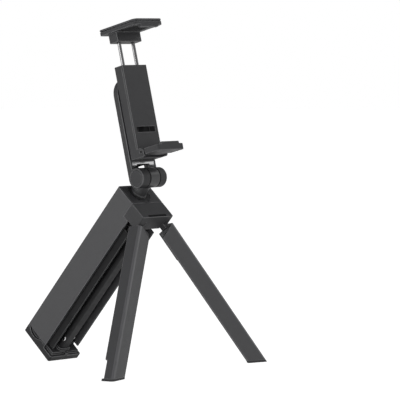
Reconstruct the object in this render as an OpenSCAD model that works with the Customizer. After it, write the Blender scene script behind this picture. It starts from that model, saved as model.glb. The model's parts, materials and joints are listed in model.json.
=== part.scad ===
// Folding phone stand: a square body that is the rear leg, two hinged legs, a sliding foot
// that doubles as a table clamp, and a sprung phone holder on a swivel and tilt head.
// The body leans back; its own frame has X across, Y from the leg side to the back and Z up to
// the head, with the line that touches the table at its origin.

/* [Body] */
// Width of the body
body_w = 26; // [24:0.5:30]
// Depth of the body from the leg side to the back
body_d = 27.4; // [26:0.2:32]
// Height of the body with its foot, up to the head's end face
body_h = 121; // [110:1:150]
// Thickness of the shell's walls
wall_t = 1.4; // [1.2:0.1:1.8]

/* [Rail and clamp] */
// Width of the sliding bar
bar_w = 8.5; // [7.5:0.5:9]
// Depth of the sliding bar
bar_d = 7.4; // [6.8:0.2:8]
// Room above the sliding bar, up to the head's end face
bar_room = 25.5; // [25:0.5:40]
// Depth of the bar's face below the leg side
bar_inset = 3.7; // [3.5:0.1:4.2]
// Travel of the clamp
clamp_stroke = 40; // [20:1:45]
// Thickness of the foot plate
foot_t = 5.5; // [4.5:0.5:7]
// Corner radius of the foot plate
foot_r = 1.2; // [1:0.1:3]
// Thickness of the rubber grip on the foot
grip_t = 1.4; // [1:0.1:1.8]

/* [Legs] */
// Width of a leg's outer face
leg_w = 11.8; // [10:0.1:12.2]
// Depth of a leg's side flange
leg_flange = 8; // [7:0.2:8.6]
// Thickness of a leg's walls
leg_wall = 1.5; // [1.2:0.1:1.6]
// Rounding along a leg's outer corner
leg_round = 2; // [1:0.25:3]
// Opening angle of a leg
leg_open = 64.2; // [60:0.1:68]
// Tilt of the hinge axis across the body
hinge_tilt = 34.6; // [32:0.2:37]
// Hinge axis below the head's end face
hinge_drop = 5.8; // [5.5:0.1:6.4]
// Hinge axis below the leg side
hinge_depth = 2; // [1.8:0.1:2.4]
// Radius of a leg's hinge knuckle
knuckle_r = 2.6; // [2.4:0.1:2.8]
// Width of a leg's hinge knuckle
knuckle_w = 4; // [3.5:0.1:4.2]
// Radius of a hinge pin
hinge_pin_r = 1.1; // [1:0.1:1.2]
// Thickness of a leg's rubber toe
toe_t = 1.2; // [0.8:0.1:2]

/* [Head and neck] */
// Height of the hinge block
block_h = 10.2; // [9.8:0.1:11]
// Depth of the hinge block from the leg side
block_d = 12.1; // [11.5:0.1:13]
// Thickness of the end cap
cap_t = 3.5; // [3:0.1:4.5]
// Radius of the tilt barrel
barrel_r = 6; // [5.4:0.1:6.4]
// Height of the tilt axis above the head's end face
barrel_up = 11.9; // [11.5:0.1:14]
// Width of the neck's knuckle in the barrel
neck_w = 8.1; // [7:0.1:9]
// Radius of the neck's shaft
neck_shaft_r = 3; // [2.5:0.1:3.3]
// Radius of the tilt bolt
bolt_r = 2; // [1.5:0.1:2.2]

/* [Arm] */
// Width of the arm
arm_w = 21.6; // [20:0.2:23]
// Thickness of the arm
arm_t = 3.9; // [3.6:0.1:4.5]
// Height of the holder's pivot above the tilt axis
pivot_up = 50.4; // [44:0.2:53]
// Lean of the holder from upright
holder_lean = 13.5; // [0:0.1:30]

/* [Holder] */
// Height of the housing's lower end above the tilt axis
housing_low = 11; // [10:0.1:12]
// Length of the housing
housing_l = 56.5; // [54:0.5:62]
// Thickness of the housing
housing_t = 7; // [6.3:0.1:7.6]
// Thickness of the housing's walls
housing_wall = 1.2; // [1:0.1:1.3]
// Radius of a rod
rod_r = 1.1; // [0.9:0.05:1.2]
// Spacing of the two rods
rod_span = 12; // [11:0.5:12.5]
// Radius of the pivot stud
stud_r = 3; // [2:0.1:4]

/* [Jaws] */
// Gap between the jaws as shown
jaw_gap = 71.9; // [66:0.1:76]
// Width of the upper jaw
jaw_w = 24.5; // [22:0.5:28]
// Width of the lower jaw
low_jaw_w = 22.4; // [21.6:0.2:26]
// Reach of the upper jaw in front of the housing
jaw_reach = 17.9; // [16:0.1:24]
// Reach of the lower jaw in front of the housing
low_jaw_reach = 17.1; // [16:0.1:22]
// Reach of the upper jaw behind the housing
jaw_back = 5.2; // [3:0.1:7]
// Thickness of the upper jaw
jaw_t = 3.7; // [3:0.1:5]
// Thickness of the lower jaw
low_jaw_t = 3.8; // [3.4:0.1:4]
// Height of the lips at the jaws' edges
lip_h = 1.4; // [1:0.1:1.5]
// Width of the lips
lip_w = 15; // [12:0.5:16]
// Height of the block under the upper jaw
jaw_block_h = 6; // [5:0.1:8]

/* [Hidden] */
$fn = 64;

// Fits and overruns
gap = 0.3;         // between pieces that move past each other
slide_gap = 0.25;  // between the bar and its ribs
run_gap = 0.05;    // radial, between a pin and the piece that turns on it
over = 1;          // overrun of every cut
far = 200;         // larger than the part, for cuts by a half space

// Body details
body_round = 1.2;
half_w = body_w / 2;
inner_w = half_w - wall_t;
wall_edge = leg_flange + gap;
shell_low = foot_t + slide_gap;
block_low = body_h - block_h;
boss_r = 2.2;

// Guide rail: a channel with two ribs that guide the bar, and its four screws
bar_top = body_h - bar_room;
bar_l = bar_top - foot_t;
collar_h = 1.5;
rail_low = foot_t + collar_h + gap;
rail_over = 8.5;    // the rail's reach above the bar
rail_top = bar_top + rail_over;
rail_wall = 1.2;
tongue_t = 1.7;
rail_edge = leg_wall + tongue_t + gap;
rail_lip_x = half_w - leg_wall - gap;
web_t = 1.4;
web_front = bar_inset + bar_d + gap;
web_back = web_front + web_t;
rib_t = 1.2;
rib_h = 1.9;
screw_r = 1;
screw_head_r = 1.6;
screw_head_t = 1;
screw_end = 18;     // from the rail's ends
screw_z = [rail_low + screw_end, rail_top - screw_end];
screw_in = 4;       // from the shell's inner sides
screw_x = inner_w - screw_in;

// Clamp
bar_round = 2;
hook_drop = 33.5;    // below the bar's top
hook_z = bar_top - hook_drop;
hook_h = 4;
hook_w = 3.6;
hook_foot_d = 2;
spring_y = (web_back + body_d - wall_t) / 2;
spring_r = 3.4;
spring_wire = 0.9;
hook_back = spring_y + spring_r;
post_r = 1.5;
post_up = 4.5;       // above the bar's top
post_z = bar_top + post_up;
tang_w = 5.2;
tang_h = 12.5;
tang_wall = 0.7;
tang_d = 5.2;
foot_pin_r = 1.1;
foot_pin_up = 8.3;
foot_pin_in = 1.9;
foot_pin_proud = 0.4;
collar_edge = 0.7;
scoop_l = 11.4;
scoop_deep = 2.5;
scoop_in = 1.6;
scoop_from_back = 8.2;
scoop_r = (scoop_l * scoop_l / 4 + scoop_deep * scoop_deep) / (2 * scoop_deep);
grip_w = 18.4;
grip_room = 1.4;     // behind the bar's collar
grip_edge = 2.4;     // from the plate's back edge
grip_from = bar_inset + bar_d + collar_edge + grip_room;
grip_to = body_d - grip_edge;
grip_seat = 0.5;

// Legs: the notch for a finger nail near the tip, and the tongue that carries the knuckle
toe_pocket = 1.7;   // depth of the foot's pockets for the folded toes
leg_tip_z = foot_t - toe_pocket + gap;
leg_top_drop = 5.9;
notch_low = 3;
notch_l = 12.5;
notch_deep = 1.3;
leg_cut = 2.8;       // how far a leg's top falls towards its free edge
hinge_in = body_w / 4;
tongue_l = 20;
tongue_in = 0.6;     // the tongue's edge from the leg's free edge
tongue_w = leg_w - leg_wall - tongue_in;
tongue_seat = 0.3;   // the tongue's corner plate below the leg's outer face
knuckle_from = -4.4;
web_up = 0.8;
block_turn_r = leg_top_drop - gap;
pin_from = -6.6;
pin_to = 1.5;

// Head: slot for a wrist loop, dish around the neck
slot_w = 15;
slot_t = 0.9;
slot_in = 0.8;
slot_deep = 2.4;
dish_r = 8;
dish_seat_r = 5.25;
dish_deep = 1.3;
socket_r = 5;
socket_l = 6;
flange_r = 5;
flange_t = 1.7;
flange_lift = 0.1;
stem_r = 4.6;
stem_top_r = 3.9;
washer_r = 4.2;
washer_t = 0.8;
screw_cap_r = 4;
screw_cap_t = 2.4;
screw_core_r = 1.4;
screw_core_l = 7;
hex_r = 1.45;
hex_deep = 1.2;

// Arm
ear_gap = 0.2;
ear_round = 1.8;
ear_in = neck_w / 2 + ear_gap;
fork_up = 8.6;
disc_r = 4.6;
disc_seat = 0.12;
disc_t = 1.2;
disc_deep = 1.3;
bolt_head_r = 3.6;
bolt_head_t = 1.6;
nut_r = 3.4;
nut_t = 1.6;
arm_front = barrel_r - arm_t;
brake_t = 0.65;
brake_deep = 0.6;
brake_low = 8.8;
brake_h = 1.35;
brake_w = 18.4;
brake_tab_w = 3.6;
brake_tab_h = 2;
pivot_washer_r = 6.5;
pivot_washer_t = 0.3;
stud_head_r = 4.8;
stud_head_t = 1;
stud_sink = 0.2;

// Housing, in the holder's frame: X across, F forward from the tilt axis, H up the arm
housing_inset = 0.5;  // the housing's sides inside the arm's
housing_w = arm_w - 2 * housing_inset;
arm_clear = 0.5;
housing_back_f = arm_clear - arm_front;
housing_front_f = housing_back_f + housing_t;
housing_top = housing_low + housing_l;
cover_t = housing_wall;
floor_h = 6;
housing_end_t = 1.6;
cheek_t = 1.35;
cheek_reach = 4.1;
cheek_front = housing_front_f + cheek_reach;
cheek_h = 5.6;
cheek_top = housing_low + cheek_h;
cheek_round = 2.6;
jaw_pin_r = 0.9;
jaw_pin_under = 1.6;  // the pin's axis below the lower jaw's upper face
jaw_rest = 0.15;      // between the folded jaw and the cover
jaw_pin_f = housing_front_f + jaw_pin_under + jaw_rest;
jaw_pin_up = 3.3;
jaw_pin_h = housing_low + jaw_pin_up;
cover_screw_r = 0.8;
cover_screw_head_r = 1.4;
cover_screw_head_t = 0.7;
cover_screw_bite = 0.7;
cover_boss_r = 1.6;
low_screw_up = 10.8;  // above the housing's lower end
top_screw_in = 4.6;   // below its upper end
cover_screw_h = [housing_low + low_screw_up, housing_top - top_screw_in];
spring_coil_r = 1.65;
spring_coil_wire = 0.45;
rod_f = (housing_back_f + housing_front_f) / 2;
rod_foot_under = 34.9;  // the rods' feet below the housing's upper end
rod_foot_h = housing_top - rod_foot_under;
collar_r = 1.6;
collar_t = 2;
collar_rise = 12;     // the springs above the collars are drawn at their shortest

// Jaws
low_jaw_top = jaw_pin_h + jaw_pin_under;
up_jaw_low = low_jaw_top + jaw_gap;
jaw_front_f = housing_front_f + jaw_reach;
low_jaw_front_f = housing_front_f + low_jaw_reach;
up_jaw_back_f = housing_back_f - jaw_back;
jaw_corner = 3;
jaw_cap_t = 1.5;
jaw_parting = 0.4;
jaw_parting_deep = 0.35;
lip_t = 2.6;
pad_t = 1;
pad_w = 17;
pad_edge = 1.2;
root_l = 3.9;
root_front = jaw_pin_f + root_l;
root_half = housing_w / 2 - cheek_t - gap;
rod_seat = 4;
rod_fit = 0.02;

// Where the legs stand: the tip of a leg's outer corner in the body's frame, legs open
tip_u = body_h - hinge_drop - leg_tip_z;
tip_q = hinge_in * sin(hinge_tilt) + hinge_depth * cos(hinge_tilt);
tip_t = -hinge_in * cos(hinge_tilt) + hinge_depth * sin(hinge_tilt);
open_u = tip_u * cos(leg_open) - tip_q * sin(leg_open);
open_q = tip_u * sin(leg_open) + tip_q * cos(leg_open);
open_y = hinge_depth - open_q * cos(hinge_tilt) - tip_t * sin(hinge_tilt);
open_z = body_h - hinge_drop - open_u;
body_lean = atan2(open_z, -open_y);

// Front and back of the footprint about the line of contact, and the shift that centres them;
// rounding a leg's corner takes this share of its radius off the front
round_share = 0.276;
front_y = open_y * cos(body_lean) - open_z * sin(body_lean) + round_share * leg_round;
back_y = body_d * cos(body_lean);
foot_y = -(front_y + back_y) / 2;

hinge_x = -(half_w - hinge_in);
hinge_z = body_h - hinge_drop;
barrel_y = body_d - barrel_r - run_gap * 2;
barrel_z = body_h + barrel_up;

plastic = [0.17, 0.17, 0.18];
dark_plastic = [0.11, 0.11, 0.12];
frame_grey = [0.24, 0.24, 0.25];
steel = [0.72, 0.72, 0.74];
rubber = [0.06, 0.06, 0.06];

// Frames

module at_body() {
    translate([0, foot_y, 0]) rotate([body_lean, 0, 0]) children();
}

module at_hinge() {
    translate([hinge_x, hinge_depth, hinge_z]) rotate([0, 0, -hinge_tilt]) children();
}

// From the folded leg's place in the body's frame to the open leg's
module open_leg() {
    at_hinge() rotate([-leg_open, 0, 0]) rotate([0, 0, hinge_tilt])
        translate([-hinge_x, -hinge_depth, -hinge_z]) children();
}

module right_side() {
    mirror([1, 0, 0]) children();
}

// The holder's frame: X across, Y backwards, Z up the arm, origin on the tilt axis
module at_holder() {
    at_body() translate([0, barrel_y, barrel_z]) rotate([-body_lean - holder_lean, 0, 0]) children();
}

// Shapes

module along_x(l) {
    rotate([90, 0, 90]) linear_extrude(l) children();
}

module rod_x(r, from, to) {
    translate([from, 0, 0]) rotate([0, 90, 0]) cylinder(r = r, h = to - from);
}

module rod_y(r, from, to) {
    translate([0, from, 0]) rotate([-90, 0, 0]) cylinder(r = r, h = to - from);
}

module box_between(a, b) {
    translate(a) cube(b - a);
}

// A rectangle from a to b with each corner rounded by its own radius
// in the order low left, low right, high right, high left
module round_rect(a, b, r) {
    difference() {
        translate(a) square(b - a);
        round_off(a[0], a[1], 1, 1, r[0]);
        round_off(b[0], a[1], -1, 1, r[1]);
        round_off(b[0], b[1], -1, -1, r[2]);
        round_off(a[0], b[1], 1, -1, r[3]);
    }
}

// What rounding takes off a corner at x, y whose inside lies along sx, sy
module round_off(x, y, sx, sy, r) {
    if (r > 0) {
        translate([x, y]) difference() {
            translate([sx > 0 ? -over : -r, sy > 0 ? -over : -r]) square(r + over);
            translate([sx * r, sy * r]) circle(r);
            translate([sx > 0 ? r : -far - r, sy > 0 ? -far : -far]) square([far, 2 * far]);
            translate([-far, sy > 0 ? r : -far - r]) square([2 * far, far]);
        }
    }
}

// Body

module shell_section() {
    difference() {
        round_rect([-half_w, wall_edge], [half_w, body_d], [0, 0, body_round, body_round]);
        translate([-inner_w, wall_edge - over]) square([2 * inner_w, body_d - wall_t - wall_edge + over]);
    }
}

module body_shell() {
    color(frame_grey) at_body() difference() {
        translate([0, 0, shell_low]) linear_extrude(body_h - shell_low) shell_section();
        box_between([-half_w - over, wall_edge - over, block_low - run_gap],
                    [half_w + over, block_d + run_gap, body_h + over]);
        translate([0, barrel_y, body_h - dish_deep]) cylinder(r = dish_seat_r, h = dish_deep + over);
    }
}

// Posts that stand on the shell's back and carry the rail
module rail_posts() {
    color(plastic) at_body() for (side = [-1, 1], z = screw_z)
        translate([side * screw_x, 0, z]) difference() {
        rod_y(boss_r, web_back, body_d - wall_t);
        rod_y(screw_r, web_back - over, body_d - wall_t - wall_t);
    }
}

module end_cap() {
    color(plastic) at_body() difference() {
        union() {
            box_between([-inner_w, block_d + run_gap, body_h - cap_t], [inner_w, body_d - wall_t, body_h]);
            intersection() {
                translate([0, barrel_y, body_h - cap_t - socket_l])
                    cylinder(r = socket_r, h = socket_l + over);
                box_between([-inner_w, block_d + run_gap, 0], [inner_w, body_d - wall_t, body_h - over]);
            }
        }
        translate([0, barrel_y, body_h - cap_t - socket_l - over])
            cylinder(r = neck_shaft_r + run_gap, h = cap_t + socket_l + 2 * over);
        translate([0, barrel_y, body_h - dish_deep])
            cylinder(r1 = dish_seat_r, r2 = dish_r, h = dish_deep);
        translate([0, barrel_y, body_h - run_gap]) cylinder(r = dish_r, h = over);
    }
}

// The part of the hinge plane that a turning leg never reaches
module leg_keep_out() {
    circle(block_turn_r);
    translate([0, -block_turn_r]) square([far, far]);
    rotate(-leg_open) translate([-far, -block_turn_r]) square([far, far]);
}

// Room for the knuckle and its neck from folded to open
module knuckle_sweep() {
    low = knuckle_r + gap;
    high = web_up + gap;
    circle(low);
    polygon([[low, 0], [low, -far],
             [-high * cos(leg_open) - far * sin(leg_open), high * sin(leg_open) - far * cos(leg_open)],
             [-high * cos(leg_open), high * sin(leg_open)]]);
}

module head_block_half() {
    difference() {
        intersection() {
            translate([0, 0, block_low]) linear_extrude(block_h)
                round_rect([-half_w, 0], [0, block_d], [body_round / 2, 0, 0, 0]);
            at_hinge() translate([-far / 2, 0, 0]) along_x(far) leg_keep_out();
        }
        at_hinge() {
            translate([knuckle_from - gap, 0, 0]) along_x(knuckle_w + 2 * gap) knuckle_sweep();
            rod_x(hinge_pin_r, pin_from, pin_to);
        }
    }
}

module head_block() {
    color(plastic) at_body() difference() {
        union() {
            head_block_half();
            right_side() head_block_half();
        }
        box_between([-slot_w / 2, slot_in, body_h - slot_deep],
                    [slot_w / 2, slot_in + slot_t, body_h + over]);
    }
}

module hinge_pin() {
    color(steel) at_body() at_hinge() rod_x(hinge_pin_r, pin_from, pin_to);
}

module hinge_pin_left() {
    hinge_pin();
}

module hinge_pin_right() {
    right_side() hinge_pin();
}

module rail_section() {
    for (side = [-1, 1]) scale([side, 1]) {
        translate([rail_lip_x - rail_wall, rail_edge]) square([rail_wall, web_back - rail_edge]);
        translate([rail_lip_x - rail_wall, wall_edge + gap])
            square([inner_w - rail_lip_x + rail_wall, web_back - wall_edge - gap]);
        translate([bar_w / 2 + slide_gap, web_front - rib_h]) square([rib_t, rib_h + web_t / 2]);
    }
    translate([-inner_w, web_front]) square([2 * inner_w, web_t]);
}

module guide_rail() {
    slot_low = hook_z - clamp_stroke - gap;
    slot_high = hook_z + hook_h + gap;
    color(dark_plastic) at_body() difference() {
        translate([0, 0, rail_low]) linear_extrude(rail_top - rail_low) rail_section();
        box_between([-hook_w / 2 - gap, web_front - over, slot_low],
                    [hook_w / 2 + gap, web_back + over, slot_high]);
        for (side = [-1, 1], z = screw_z)
            translate([side * screw_x, 0, z]) rod_y(screw_r + run_gap, web_front - over, web_back + over);
        translate([0, 0, post_z]) rod_y(post_r, web_front - over, web_back + over);
    }
}

module rail_screws() {
    color(steel) at_body() for (side = [-1, 1], z = screw_z)
        translate([side * screw_x, 0, z]) difference() {
        union() {
            rod_y(screw_r, web_front - screw_head_t / 2, body_d - 3 * wall_t);
            rod_y(screw_head_r, web_front - screw_head_t, web_front);
        }
        rod_y(screw_r / 2, web_front - screw_head_t - over, web_front - screw_head_t / 2);
    }
}

module spring_post() {
    color(steel) at_body() translate([0, 0, post_z]) rod_y(post_r, web_front, spring_y + spring_r);
}

// Envelope of the extension spring that draws the clamp in
module clamp_spring() {
    low = hook_z + hook_h + run_gap;
    high = post_z - post_r - run_gap;
    color(steel) at_body() translate([0, spring_y, low]) difference() {
        cylinder(r = spring_r, h = high - low);
        translate([0, 0, -over]) cylinder(r = spring_r - spring_wire, h = high - low + 2 * over);
    }
}

// Clamp

module clamp_bar() {
    tang_front = bar_inset + tang_wall;
    color(plastic) at_body() difference() {
        translate([0, 0, foot_t]) linear_extrude(bar_l)
            round_rect([-bar_w / 2, bar_inset], [bar_w / 2, bar_inset + bar_d],
                       [bar_round, bar_round, bar_round / 2, bar_round / 2]);
        box_between([-tang_w / 2, tang_front, foot_t - over],
                    [tang_w / 2, tang_front + tang_d, foot_t + tang_h]);
        translate([0, bar_inset + foot_pin_in, foot_t + foot_pin_up])
            rod_x(foot_pin_r, -bar_w / 2 - over, bar_w / 2 + over);
        box_between([-hook_w / 2, bar_inset + bar_d - hook_foot_d, hook_z],
                    [hook_w / 2, bar_inset + bar_d + over, hook_z + hook_h]);
    }
}

module foot_pin() {
    reach = bar_w / 2 + foot_pin_proud;
    color(steel) at_body() translate([0, bar_inset + foot_pin_in, foot_t + foot_pin_up])
        rod_x(foot_pin_r, -reach, reach);
}

module clamp_foot() {
    tang_front = bar_inset + tang_wall;
    color(plastic) at_body() difference() {
        union() {
            linear_extrude(foot_t)
                round_rect([-half_w, 0], [half_w, body_d], [foot_r, foot_r, foot_r, foot_r]);
            box_between([-tang_w / 2, tang_front, foot_t - over],
                        [tang_w / 2, tang_front + tang_d, foot_t + tang_h]);
            difference() {
                translate([0, 0, foot_t - run_gap]) linear_extrude(collar_h + run_gap)
                    round_rect([-bar_w / 2 - collar_edge, bar_inset - collar_edge],
                               [bar_w / 2 + collar_edge, bar_inset + bar_d + collar_edge],
                               [bar_round, bar_round, bar_round / 2, bar_round / 2]);
                translate([0, 0, foot_t]) linear_extrude(collar_h + over)
                    round_rect([-bar_w / 2, bar_inset], [bar_w / 2, bar_inset + bar_d],
                               [bar_round, bar_round, bar_round / 2, bar_round / 2]);
            }
        }
        for (side = [-1, 1])
            translate([0, body_d - scoop_from_back, foot_t + scoop_r - scoop_deep])
                rod_x(scoop_r, side > 0 ? half_w - scoop_in : -half_w - over,
                      side > 0 ? half_w + over : -half_w + scoop_in);
        for (side = [-1, 1]) scale([side, 1, 1])
            translate([0, 0, foot_t - toe_pocket]) linear_extrude(foot_t)
            toe_outline();
        translate([0, bar_inset + foot_pin_in, foot_t + foot_pin_up])
            rod_x(foot_pin_r, -bar_w / 2 - over, bar_w / 2 + over);
        translate([0, 0, foot_t - grip_seat]) linear_extrude(grip_t + over) grip_outline();
    }
}

// Room in the foot for a folded toe, open at the foot's edges
module toe_outline() {
    difference() {
        translate([-half_w - over, -over]) square([leg_w + over + gap, leg_flange + over + gap]);
        translate([-half_w + leg_wall + gap, leg_wall + gap]) square([leg_w, leg_flange]);
    }
}

module grip_outline() {
    round_rect([-grip_w / 2, grip_from], [grip_w / 2, grip_to], [foot_r, foot_r, foot_r, foot_r]);
}

module grip_pad() {
    color(rubber) at_body() translate([0, 0, foot_t - grip_seat]) linear_extrude(grip_t) grip_outline();
}

module spring_hook() {
    front = bar_inset + bar_d - hook_foot_d;
    color(steel) at_body() difference() {
        box_between([-hook_w / 2, front, hook_z], [hook_w / 2, hook_back, hook_z + hook_h]);
        translate([0, spring_y, hook_z - over]) cylinder(r = spring_wire, h = hook_h + 2 * over);
    }
}

// Legs

module leg_section() {
    difference() {
        round_rect([-half_w, 0], [-half_w + leg_w, leg_flange], [leg_round, 0, 0, 0]);
        translate([-half_w + leg_wall, leg_wall]) square([leg_w, leg_flange]);
    }
}

module leg_blank() {
    top = hinge_z - leg_top_drop;
    notch_z = leg_tip_z + notch_low;
    difference() {
        translate([0, 0, -leg_w]) linear_extrude(top + leg_w) leg_section();
        box_between([-half_w - over, leg_flange - notch_deep, notch_z],
                    [-half_w + leg_wall + over, leg_flange + over, notch_z + notch_l]);
        translate([0, leg_wall + run_gap, 0]) rotate([90, 0, 0]) linear_extrude(leg_wall + over)
            polygon([[-half_w + leg_round, top], [-half_w + leg_w, top - leg_cut],
                     [-half_w + leg_w + over, top - leg_cut], [-half_w + leg_w + over, top + over],
                     [-half_w + leg_round, top + over]]);
    }
}

// The open leg, cut level between two heights above the table
module leg_between(low, high) {
    intersection() {
        at_body() open_leg() leg_blank();
        translate([-far / 2, -far / 2, low]) cube([far, far, high - low]);
    }
}

module one_leg() {
    color(frame_grey) leg_between(toe_t, far);
}

module one_toe() {
    color(rubber) leg_between(0, toe_t);
}

// The plate that fills a leg's slanted top, across and up
module tongue_corner() {
    top = hinge_z - leg_top_drop;
    rise = leg_cut / (leg_w - leg_round);
    polygon([[-half_w + leg_round + tongue_in, top],
             [-half_w + leg_round + tongue_in, top - rise * tongue_in + run_gap],
             [-half_w + leg_w - tongue_in, top - leg_cut + rise * tongue_in + run_gap * 2],
             [-half_w + leg_w - tongue_in, top]]);
}

module one_knuckle() {
    root = leg_top_drop + tongue_t;
    color(dark_plastic) at_body() open_leg() difference() {
        union() {
            box_between([-half_w + leg_wall, leg_wall, hinge_z - leg_top_drop - tongue_l],
                        [-half_w + leg_wall + tongue_w, leg_wall + tongue_t, hinge_z - leg_top_drop]);
            translate([0, leg_wall + run_gap, 0]) rotate([90, 0, 0])
                linear_extrude(leg_wall - tongue_seat + run_gap) tongue_corner();
            at_hinge() {
                rod_x(knuckle_r, knuckle_from, knuckle_from + knuckle_w);
                box_between([knuckle_from, -web_up, -root], [knuckle_from + knuckle_w, knuckle_r, 0]);
            }
        }
        at_hinge() rod_x(hinge_pin_r + run_gap, knuckle_from - over, knuckle_from + knuckle_w + over);
    }
}

module leg_left() {
    one_leg();
}

module leg_right() {
    right_side() one_leg();
}

module leg_knuckle_left() {
    one_knuckle();
}

module leg_knuckle_right() {
    right_side() one_knuckle();
}

module toe_left() {
    one_toe();
}

module toe_right() {
    right_side() one_toe();
}

// Neck

module neck_post() {
    shaft_low = body_h - cap_t - socket_l + run_gap;
    flange_low = body_h - dish_deep + flange_lift;
    color(plastic) at_body() translate([0, barrel_y, 0]) difference() {
        union() {
            translate([0, 0, shaft_low]) cylinder(r = neck_shaft_r, h = flange_low - shaft_low + run_gap);
            translate([0, 0, flange_low]) cylinder(r = flange_r, h = flange_t);
            translate([0, 0, flange_low + flange_t])
                cylinder(r1 = stem_r, r2 = stem_top_r, h = barrel_z - barrel_r / 2 - flange_low - flange_t);
            translate([0, 0, barrel_z]) rod_x(barrel_r, -neck_w / 2, neck_w / 2);
        }
        translate([0, 0, barrel_z]) rod_x(bolt_r + run_gap, -neck_w, neck_w);
        translate([0, 0, shaft_low - over]) cylinder(r = screw_core_r, h = screw_core_l + over);
    }
}

module swivel_washer() {
    top = body_h - cap_t - socket_l - run_gap;
    color(steel) at_body() translate([0, barrel_y, top - washer_t]) difference() {
        cylinder(r = washer_r, h = washer_t);
        translate([0, 0, -over]) cylinder(r = screw_core_r, h = washer_t + 2 * over);
    }
}

module swivel_screw() {
    top = body_h - cap_t - socket_l - run_gap - washer_t;
    color(steel) at_body() translate([0, barrel_y, top]) difference() {
        union() {
            cylinder(r = screw_core_r, h = screw_core_l);
            translate([0, 0, -screw_cap_t]) cylinder(r = screw_cap_r, h = screw_cap_t);
        }
        translate([0, 0, -screw_cap_t - over]) cylinder(r = hex_r, h = hex_deep + over, $fn = 6);
    }
}

// Arm, in the holder's frame with the plate behind the tilt axis

module arm_ear_left() {
    rod_x(barrel_r, -arm_w / 2, -ear_in);
}

// The right ear's outer edge is rounded
module arm_ear_right() {
    rotate([0, 90, 0]) rotate_extrude() {
        translate([0, ear_in]) square([barrel_r, arm_w / 2 - ear_in - ear_round]);
        translate([0, ear_in]) square([barrel_r - ear_round, arm_w / 2 - ear_in]);
        translate([barrel_r - ear_round, arm_w / 2 - ear_round]) intersection() {
            circle(ear_round);
            square(ear_round);
        }
    }
}

module arm_plate() {
    half = arm_w / 2;
    color(plastic) at_holder() difference() {
        union() {
            box_between([-half, arm_front, 0], [half, barrel_r, pivot_up]);
            translate([0, 0, pivot_up]) rod_y(half, arm_front, barrel_r);
            arm_ear_left();
            arm_ear_right();
        }
        box_between([-ear_in, -barrel_r - over, -barrel_r - over], [ear_in, barrel_r + over, fork_up]);
        rod_x(bolt_r + run_gap, -half - over, half + over);
        rod_x(disc_r + disc_seat, -half - over, -half + disc_deep);
        rod_x(bolt_head_r + run_gap, -half - over, -half + disc_deep + bolt_head_t);
        rod_x(nut_r + run_gap, half - nut_t, half + over);
        box_between([-brake_w / 2, arm_front - over, brake_low],
                    [brake_w / 2, arm_front + brake_deep, brake_low + brake_h]);
        for (side = [-1, 1]) translate([side * (brake_w - brake_tab_w) / 2, 0, 0])
            box_between([-brake_tab_w / 2, arm_front - over, brake_low - brake_tab_h + brake_h],
                        [brake_tab_w / 2, arm_front + brake_deep, brake_low + brake_h]);
        translate([0, 0, pivot_up]) {
            rod_y(stud_r + run_gap, arm_front - over, barrel_r + over);
            rod_y(stud_head_r + gap, barrel_r - stud_head_t - stud_sink - gap, barrel_r + over);
        }
    }
}

module tilt_bolt() {
    half = arm_w / 2;
    color(steel) at_holder() {
        rod_x(bolt_r, -half + disc_deep + run_gap, half - run_gap * 2);
        rod_x(bolt_head_r, -half + disc_deep + run_gap, -half + disc_deep + bolt_head_t);
    }
}

module tilt_nut() {
    half = arm_w / 2;
    color(steel) at_holder() difference() {
        rod_x(nut_r, half - nut_t, half - run_gap * 2);
        rod_x(bolt_r, half - nut_t - over, half + over);
    }
}

module bolt_cap() {
    half = arm_w / 2;
    color(plastic) at_holder() rod_x(disc_r, -half, -half + disc_t);
}

module brake_plate() {
    front = arm_front + brake_deep - brake_t;
    color(steel) at_holder() {
        box_between([-brake_w / 2, front, brake_low],
                    [brake_w / 2, arm_front + brake_deep, brake_low + brake_h]);
        for (side = [-1, 1]) translate([side * (brake_w - brake_tab_w) / 2, 0, 0])
            box_between([-brake_tab_w / 2, front, brake_low - brake_tab_h + brake_h],
                        [brake_tab_w / 2, arm_front + brake_deep, brake_low + brake_h]);
    }
}

module pivot_washer() {
    color(dark_plastic) at_holder() translate([0, 0, pivot_up]) difference() {
        rod_y(pivot_washer_r, arm_front - pivot_washer_t, arm_front);
        rod_y(stud_r + run_gap, arm_front - pivot_washer_t - over, arm_front + over);
    }
}

// Holder housing

// A box given across, forward and up
module holder_box(x1, x2, f1, f2, h1, h2) {
    translate([x1, -f2, h1]) cube([x2 - x1, f2 - f1, h2 - h1]);
}

module rod_hole(r, h1, h2) {
    for (side = [-1, 1]) translate([side * rod_span / 2, -rod_f, h1]) cylinder(r = r, h = h2 - h1);
}

// A cheek's side outline, forward and up, rounded at its upper front corner
module cheek_outline() {
    round_rect([-cheek_front, housing_low], [-housing_back_f - run_gap, cheek_top],
               [cheek_round / 2, 0, 0, cheek_round]);
}

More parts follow.
